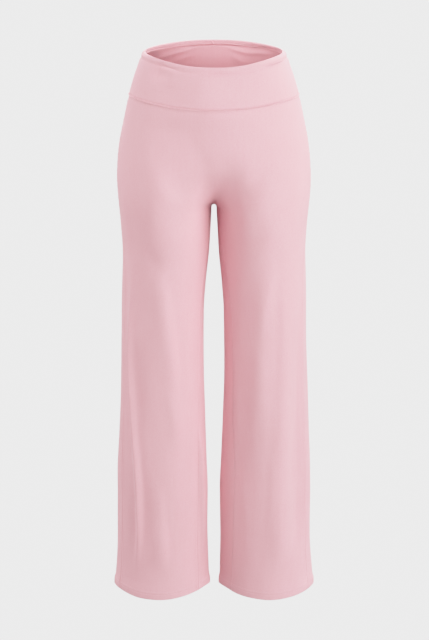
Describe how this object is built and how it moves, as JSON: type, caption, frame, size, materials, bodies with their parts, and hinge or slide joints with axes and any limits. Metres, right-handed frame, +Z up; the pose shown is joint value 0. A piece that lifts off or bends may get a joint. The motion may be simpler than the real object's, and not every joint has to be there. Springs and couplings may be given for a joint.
{
  "type": "wide leg leggings",
  "caption": "Wide leg jersey leggings with a high contoured waistband, filled out as worn: a hollow hip tube that parts into two hollow, slightly flared legs, open at the waist and hems.",
  "frame": {"origin": "middle of the waist opening, level with the waist rim at the sides", "axes": "+Z up the garment towards the waist, -Y towards its front, +X towards the wearer's left leg"},
  "size_m": [0.3839, 0.2326, 1.0564],
  "materials": {
    "front": "soft matte pink stretch jersey",
    "back_left": "soft matte pink stretch jersey",
    "back_right": "soft matte pink stretch jersey",
    "waistband_front": "soft matte pink stretch jersey, firm over its elastic",
    "waistband_back": "soft matte pink stretch jersey, firm over its elastic",
    "waistband_facing": "soft matte pink stretch jersey, inner side"
  },
  "bodies": {
    "root": {"front": "front", "back_left": "back_left", "back_right": "back_right", "waistband_front": "waistband_front", "waistband_back": "waistband_back", "waistband_facing": "waistband_facing"}
  },
  "joints": []
}
